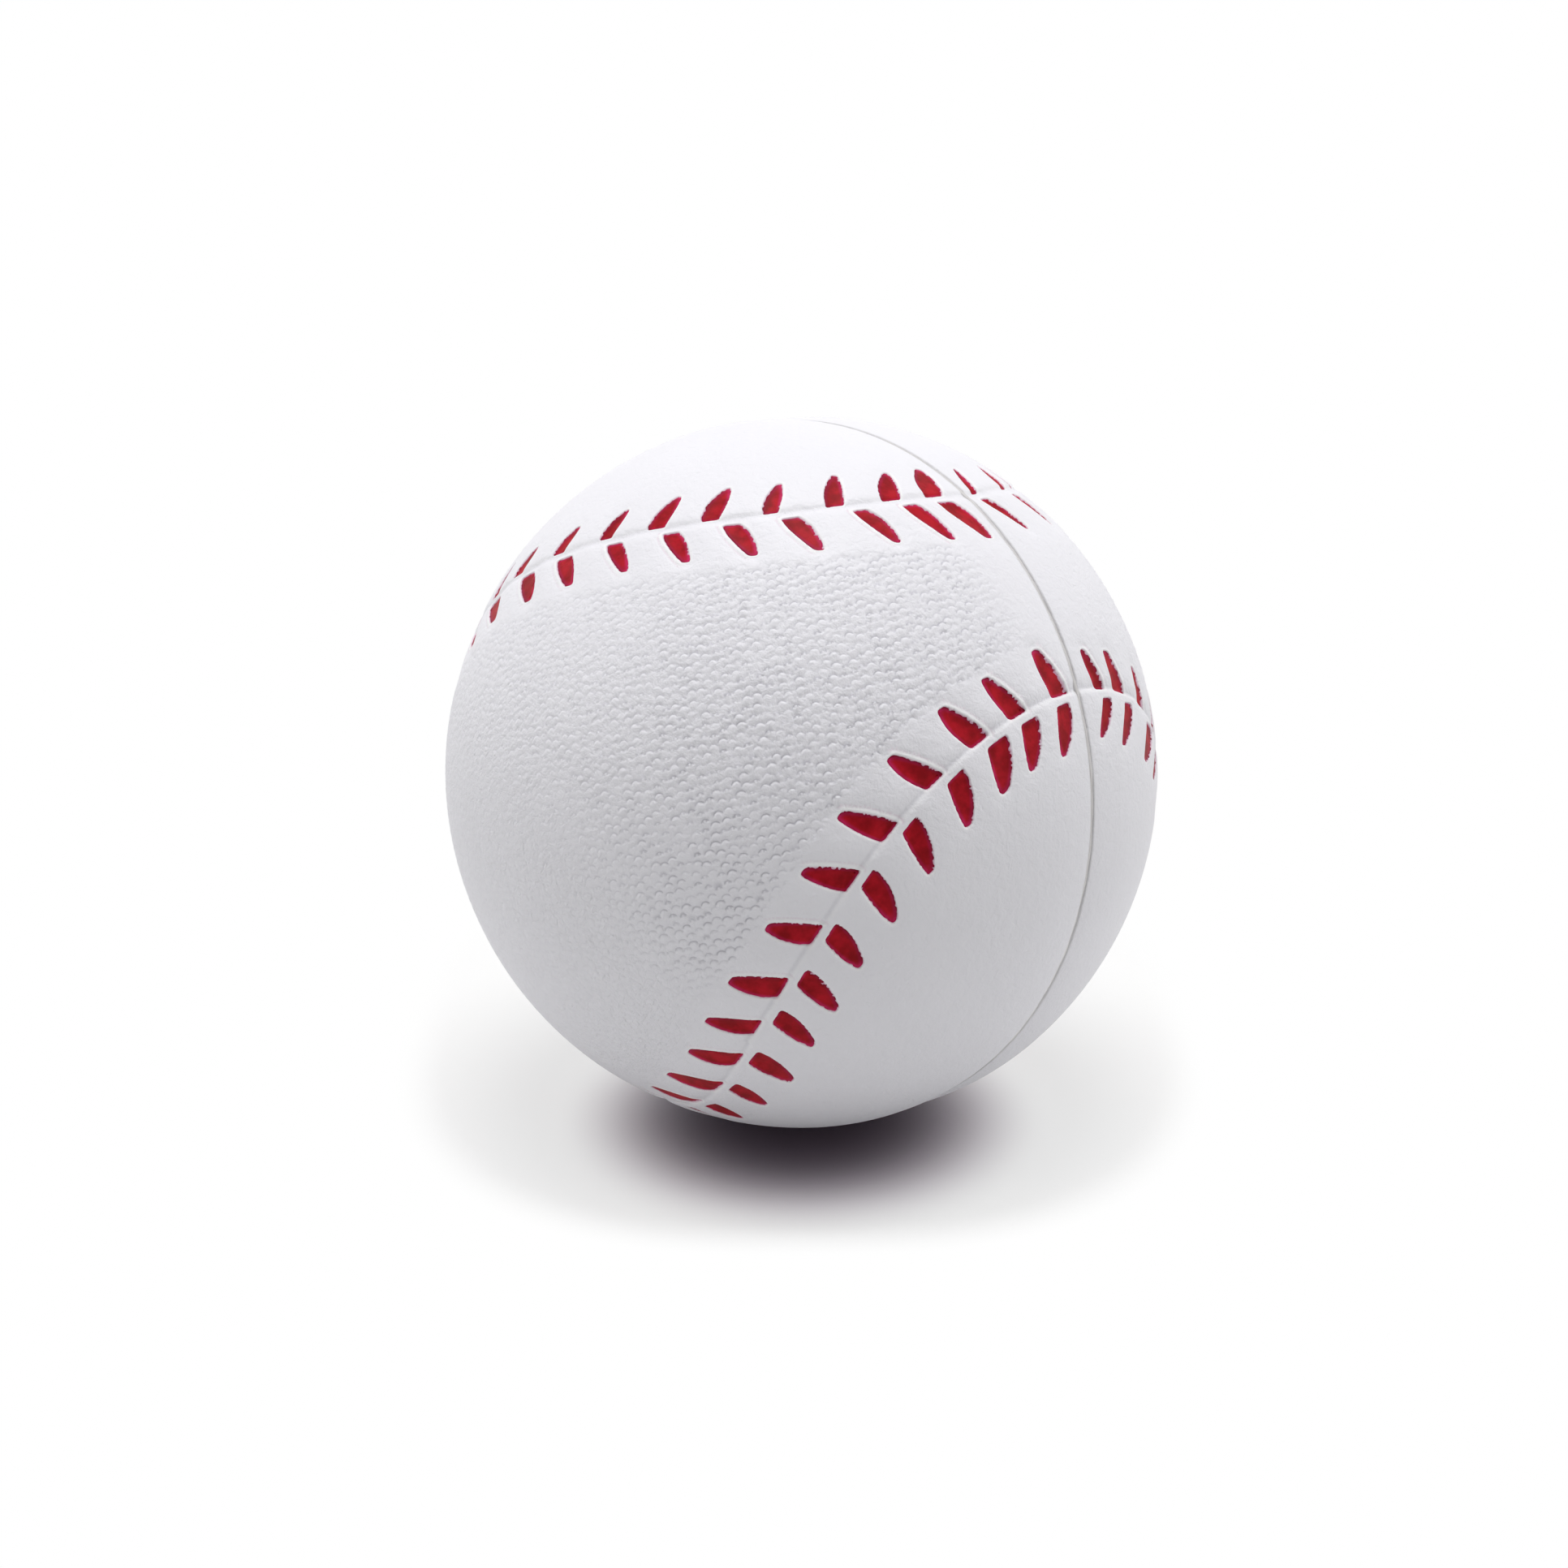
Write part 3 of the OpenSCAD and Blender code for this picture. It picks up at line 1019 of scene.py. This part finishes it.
# Each pair is what a noise mixes between
SKIN_COLOURS = ((0.81, 0.80, 0.85, 1), (0.86, 0.85, 0.90, 1))
WEB_COLOURS = ((0.54, 0.52, 0.52, 1), (0.72, 0.70, 0.71, 1))
DEEP_REDS = ((0.25, 0.001, 0.005, 1), (0.46, 0.005, 0.016, 1))
THIN_REDS = ((0.37, 0.006, 0.05, 1), (0.55, 0.02, 0.11, 1))
FOAM_COLOURS = ((0.74, 0.72, 0.62, 1), (0.90, 0.88, 0.79, 1))

WEB_LOWER = (0.84, 0.82, 0.82, 1)
# Colours of the painted highlight, the pink stain and painted shade, the painted crease shade and
# the painted shadow on the paint
PAINTED_HIGHLIGHT = (0.95, 0.95, 0.95, 1)
PINK_STAIN_AND_SHADE = (0.55, 0.12, 0.30, 1)
CREASE_SHADE = (0.42, 0.41, 0.47, 1)
PAINTED_SHADOW_RED = (0.15, 0.001, 0.008, 1)

# Heights in metres between which the mould line turns paler
PALER_FROM = 0.006
PALER_TO = -0.012

# The three ways that draw the streaks out, and how fine they are
STREAK_WAYS = ((0.87, -0.17, -0.47), (0.09, 0.055, 0.15), (0.0, 0.5, -0.18))
STREAK_SCALE = 1300.0


class Nodes:
    """A short way to build the node tree of a material or of the world."""

    def __init__(self, name, world=None):
        self.material = world or bpy.data.materials.new(name)
        self.material.use_nodes = True
        self.tree = self.material.node_tree
        self.tree.nodes.clear()
        kind = "World" if world else "Material"
        self.out = self.tree.nodes.new("ShaderNodeOutput" + kind)

    def add(self, kind, inputs=None, **settings):
        """A new node. An input is a value, or another node's output to link to."""
        node = self.tree.nodes.new(kind)
        for key, value in settings.items():
            setattr(node, key, value)
        for key, value in (inputs or {}).items():
            if isinstance(value, bpy.types.NodeSocket):
                self.tree.links.new(value, node.inputs[key])
            else:
                node.inputs[key].default_value = value
        return node

    def mask(self, name):
        """The value that the mesh keeps for each point under this name."""
        return self.add("ShaderNodeAttribute", attribute_name=name).outputs["Fac"]

    def place(self):
        """The place on the object, in metres."""
        return self.add("ShaderNodeTexCoord").outputs["Object"]

    def math(self, kind, a, b=0.0):
        """A sum, product or other reckoning with one or two values."""
        return self.add("ShaderNodeMath", {0: a, 1: b}, operation=kind).outputs[0]

    def scaled(self, value, factor):
        """The value times the factor."""
        return self.math("MULTIPLY", value, factor)

    def ramp(self, value, start, end):
        """Rises smoothly from 0 at start to 1 at end."""
        return self.add("ShaderNodeMapRange", {0: value, 1: start, 2: end},
                        interpolation_type="SMOOTHSTEP").outputs[0]

    def mix(self, factor, a, b):
        """Colour a where the factor is 0 and b where it is 1."""
        return self.add("ShaderNodeMix", {0: factor, 6: a, 7: b}, data_type="RGBA").outputs[2]

    def noise(self, scale, detail=2.0, rough=0.5, distortion=0.0, place=None):
        """Cloudy noise from 0 to 1, over the object's own place unless another is given."""
        inputs = {"Vector": place or self.place(), "Scale": scale, "Detail": detail,
                  "Roughness": rough, "Distortion": distortion}
        return self.add("ShaderNodeTexNoise", inputs).outputs["Fac"]

    def streak_noise(self):
        """Noise drawn out into long thin streaks that slant down across panel A."""
        place = self.place()
        drawn = {}
        for axis, way in enumerate(STREAK_WAYS):
            dot = self.add("ShaderNodeVectorMath", {0: place, 1: way}, operation="DOT_PRODUCT")
            drawn[axis] = dot.outputs["Value"]
        drawn = self.add("ShaderNodeCombineXYZ", drawn).outputs[0]
        return self.noise(STREAK_SCALE, 3.0, 0.6, place=drawn)

    def paler_below(self, colour):
        """The mould line's colour, which gets paler on the ball's lower half."""
        height = self.add("ShaderNodeSeparateXYZ", {0: self.place()}).outputs["Z"]
        return self.mix(self.ramp(height, PALER_FROM, PALER_TO), colour, WEB_LOWER)

    def bump(self, height, strength, distance):
        """Normals for small unevenness; distance is in metres."""
        inputs = {"Strength": strength, "Distance": distance, "Height": height}
        return self.add("ShaderNodeBump", inputs).outputs[0]

    def surface(self, inputs):
        """Ends a material in the usual shader with these inputs."""
        return self.finish(self.add("ShaderNodeBsdfPrincipled", inputs).outputs[0])

    def finish(self, shader):
        """Links the shader to the output and hands back what it was built for."""
        self.tree.links.new(shader, self.out.inputs["Surface"])
        return self.material


def skin_material():
    """Matt white skin: mottled, with painted highlights at the marks' rims, painted shade in
    creases, and dark at the mould line.
    """
    n = Nodes("moulded_skin")
    mottle = n.noise(90.0, 4.0, 0.6)
    base = n.mix(mottle, *SKIN_COLOURS)
    # Painted highlight at the marks' rims and beside the groove
    base = n.mix(n.scaled(n.mask("edge"), 0.8), base, PAINTED_HIGHLIGHT)
    # Pink stain of thin paint round the marks, and painted pink shade in the dips beside them
    base = n.mix(n.mask("stain_and_shade"), base, PINK_STAIN_AND_SHADE)
    # Painted shade in the groove and in the creases over the pebbles
    base = n.mix(n.scaled(n.mask("shade"), 0.6), base, CREASE_SHADE)
    dirt = n.scaled(n.mask("line"), n.noise(900.0, 3.0, 0.7))
    base = n.mix(dirt, base, n.paler_below(WEB_COLOURS[0]))
    fine = n.noise(5200.0, 3.0, 0.6)
    wrinkle = n.noise(1300.0, 3.0, 0.55, 0.6)
    crumple = n.scaled(n.noise(2100.0, 3.0, 0.6, 0.9), n.mask("streak"))
    height = n.math("ADD", n.scaled(fine, 0.25), n.scaled(wrinkle, 0.75))
    height = n.math("ADD", height, n.scaled(crumple, 1.3))
    height = n.math("ADD", height, n.scaled(n.streak_noise(), n.scaled(n.mask("streak"), 1.1)))
    rough = n.math("ADD", n.scaled(mottle, 0.12), 0.46)
    return n.surface({"Base Color": base, "Roughness": rough, "Specular IOR Level": 0.3,
                      "Normal": n.bump(height, 0.9, 0.00015)})


def web_material():
    """The grey web, a little dirty."""
    n = Nodes("web_skin")
    base = n.paler_below(n.mix(n.noise(700.0, 3.0, 0.6), *WEB_COLOURS))
    return n.surface({"Base Color": base, "Roughness": 0.6})


def paint_material():
    """Red paint: streaky, thin towards its edge and its tip, with painted shadow on the side under
    the pocket's wall.
    """
    n = Nodes("mark_paint")
    streak = n.ramp(n.noise(620.0, 3.0, 0.6), 0.32, 0.68)
    deep = n.mix(streak, *DEEP_REDS)
    thin = n.mix(streak, *THIN_REDS)
    cover = n.math("SUBTRACT", n.mask("inner"), n.scaled(n.mask("span"), 0.35))
    cover = n.add("ShaderNodeClamp", {"Value": n.scaled(cover, 1.6)}).outputs[0]
    base = n.mix(cover, thin, deep)
    # Painted shadow under the pocket's wall
    base = n.mix(n.scaled(n.mask("wall_shadow"), 0.75), base, PAINTED_SHADOW_RED)
    return n.surface({"Base Color": base, "Roughness": 0.5, "Specular IOR Level": 0.1,
                      "Normal": n.bump(n.noise(2600.0, 3.0), 0.3, 0.00005)})


def foam_material():
    """Cream foam with open cells."""
    n = Nodes("open_foam")
    cells = n.add("ShaderNodeTexVoronoi", {"Vector": n.place(), "Scale": 1600.0})
    cells = cells.outputs["Distance"]
    return n.surface({"Base Color": n.mix(cells, *FOAM_COLOURS), "Roughness": 0.9,
                      "Normal": n.bump(cells, 0.6, 0.0002)})


# The object

skin_look = skin_material()
paint_look = paint_material()
for half, seed in (("left", 11), ("right", 23)):
    marks = make_marks(half, seed)
    data = half_mesh(half, marks, seed + 1)
    skin = skin_piece(half, data, skin_look)
    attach(skin, "root")
    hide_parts("skin_" + half)
    for row, paint in zip("ab", paint_pieces(half, data, paint_look)):
        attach(paint, "root")
        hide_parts("marks_" + half + "_row_" + row)

web = web_piece(web_material())
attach(web, "root")
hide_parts("mould_web")

core = core_piece(foam_material())
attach(core, "root")
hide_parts("foam_core")


# The studio, with its lengths in metres

FLOOR_HALF = 3.0
FLOOR_GREY = 0.66
FLOOR_PALE = 0.9

# The round contact shadow painted into the floor's colour: its place, its size, its soft edge, and
# how dark and how green it is
SHADOW_MIDDLE_Y = -0.0053
SHADOW_EDGE = 0.023
SHADOW_SOFT = 0.0075
SHADOW_DARK = 0.10
SHADOW_GREEN = 0.75

# The rounded square round the ball in which the floor's shade shows, faded into plain white
HALO_HALF_X = 0.0395
HALO_HALF_Y = 0.0473
HALO_MIDDLE_Y = 0.0156
HALO_POWER = 2.6
HALO_START = 0.853
HALO_END = 0.98
HALO_WHITE = 0.62

WORLD_EVEN = 0.03
WORLD_SIDES = 1.69
WORLD_COLOUR = (0.99, 0.995, 0.97, 1)
WHITE = (1, 1, 1, 1)

SOFTBOX_PLACE = (0, 0.05, 0.8)
SOFTBOX_SIZE = 0.5
SOFTBOX_POWER = 4.75

# The camera: the photo's side and focal length in pixels, its middle's shift, and its place
PHOTO_SIDE = 1932
FOCAL = 3347
SHIFT_X = -21.5
SHIFT_Y = -15.5
SENSOR = 36.0
CAMERA_AWAY = 7.68 * BALL_R * MM
CAMERA_RISE = math.radians(20)


def seen_rays(n):
    """1 for camera, glossy and transmission rays, which see the plain white studio."""
    path = n.add("ShaderNodeLightPath")
    seen = n.math("MAXIMUM", path.outputs["Is Camera Ray"], path.outputs["Is Glossy Ray"])
    return n.math("MAXIMUM", seen, path.outputs["Is Transmission Ray"])


def shadow_clear(n, x, y):
    """0 in the middle of the painted contact shadow, 1 beyond it."""
    off = n.math("SUBTRACT", y, SHADOW_MIDDLE_Y)
    reach = n.math("SQRT", n.math("ADD", n.scaled(x, x), n.scaled(off, off)))
    under = n.math("MAXIMUM", n.math("SUBTRACT", SHADOW_EDGE, reach), 0.0)
    under = n.math("DIVIDE", under, SHADOW_SOFT)
    return n.math("POWER", math.exp(-1), n.scaled(under, under))


def halo_reach(n, x, y):
    """1 on the edge of the rounded square round the ball, less inside and more outside."""
    wide = n.math("ABSOLUTE", n.math("DIVIDE", x, HALO_HALF_X))
    deep = n.math("DIVIDE", n.math("SUBTRACT", y, HALO_MIDDLE_Y), HALO_HALF_Y)
    wide = n.math("POWER", wide, HALO_POWER)
    deep = n.math("POWER", n.math("ABSOLUTE", deep), HALO_POWER)
    return n.math("POWER", n.math("ADD", wide, deep), 1 / HALO_POWER)


def floor_piece():
    """The pale floor. Near the ball it shows the ball's shadow, deepened by a contact shadow
    painted into its colour; further out it turns white.
    """
    low = cad_box[0][2]
    verts = np.array([(x * FLOOR_HALF, y * FLOOR_HALF, low)
                      for x, y in ((-1, -1), (1, -1), (1, 1), (-1, 1))])
    n = Nodes("studio_floor")
    x, y, _ = n.add("ShaderNodeSeparateXYZ", {0: n.place()}).outputs
    clear = shadow_clear(n, x, y)
    white = n.scaled(n.ramp(halo_reach(n, x, y), HALO_START, HALO_END), 1 - HALO_WHITE)
    # The plain white gives way to the floor's own colour inside the painted contact shadow
    white = n.scaled(n.math("ADD", white, HALO_WHITE), clear)
    # The floor's colour, darkened and tinted by the painted contact shadow
    grey = n.scaled(clear, FLOOR_PALE * (1 - SHADOW_DARK))
    grey = n.math("ADD", grey, FLOOR_PALE * SHADOW_DARK)
    green = n.math("ADD", n.scaled(clear, 1 - SHADOW_GREEN), SHADOW_GREEN)
    green = n.scaled(grey, green)
    colour = n.add("ShaderNodeCombineColor", {0: grey, 1: green, 2: grey}).outputs[0]
    near = n.add("ShaderNodeBsdfDiffuse", {"Color": colour}).outputs[0]
    plain = n.add("ShaderNodeEmission", {"Color": WHITE, "Strength": 1.0}).outputs[0]
    shown = n.add("ShaderNodeMixShader", {0: white, 1: near, 2: plain}).outputs[0]
    bounce = {"Color": (FLOOR_GREY, FLOOR_GREY, FLOOR_GREY, 1)}
    bounce = n.add("ShaderNodeBsdfDiffuse", bounce).outputs[0]
    shader = n.add("ShaderNodeMixShader", {0: seen_rays(n), 1: bounce, 2: shown}).outputs[0]
    floor = new_piece("studio_floor", verts, [(0, 1, 2, 3)], n.finish(shader))


def world_light():
    """A plain white studio to look at, with soft light from its two sides."""
    world = bpy.data.worlds.new("studio")
    bpy.context.scene.world = world
    n = Nodes("studio", world)
    way = n.add("ShaderNodeTexCoord").outputs["Generated"]
    x = n.add("ShaderNodeSeparateXYZ", {0: way}).outputs[0]
    sides = n.math("ADD", n.scaled(n.scaled(x, x), WORLD_SIDES), WORLD_EVEN)
    light = n.add("ShaderNodeBackground", {"Color": WORLD_COLOUR, "Strength": sides}).outputs[0]
    plain = n.add("ShaderNodeBackground", {"Color": WHITE, "Strength": 1.0}).outputs[0]
    n.finish(n.add("ShaderNodeMixShader", {0: seen_rays(n), 1: light, 2: plain}).outputs[0])


def softbox():
    """A round soft light over the ball, turned towards it."""
    lamp = bpy.data.lights.new("overhead_softbox", "AREA")
    lamp.shape = "DISK"
    lamp.size = SOFTBOX_SIZE
    lamp.energy = SOFTBOX_POWER
    obj = bpy.data.objects.new("overhead_softbox", lamp)
    obj.location = SOFTBOX_PLACE
    aim = Vector((0, 0, 0)) - Vector(SOFTBOX_PLACE)
    obj.rotation_euler = aim.to_track_quat("-Z", "Y").to_euler()
    bpy.context.scene.collection.objects.link(obj)


def camera():
    """The photo's view."""
    data = bpy.data.cameras.new("photo_view")
    data.sensor_width = SENSOR
    data.lens = SENSOR * FOCAL / PHOTO_SIDE
    data.shift_x = SHIFT_X / PHOTO_SIDE
    data.shift_y = SHIFT_Y / PHOTO_SIDE
    data.clip_start = 0.01
    data.clip_end = 20.0
    obj = bpy.data.objects.new("photo_view", data)
    obj.location = (0, -CAMERA_AWAY * math.cos(CAMERA_RISE), CAMERA_AWAY * math.sin(CAMERA_RISE))
    obj.rotation_euler = (math.radians(90) - CAMERA_RISE, 0, 0)
    bpy.context.scene.collection.objects.link(obj)
    bpy.context.scene.camera = obj


floor_piece()
world_light()
softbox()
camera()
bpy.context.scene.view_settings.view_transform = "Standard"
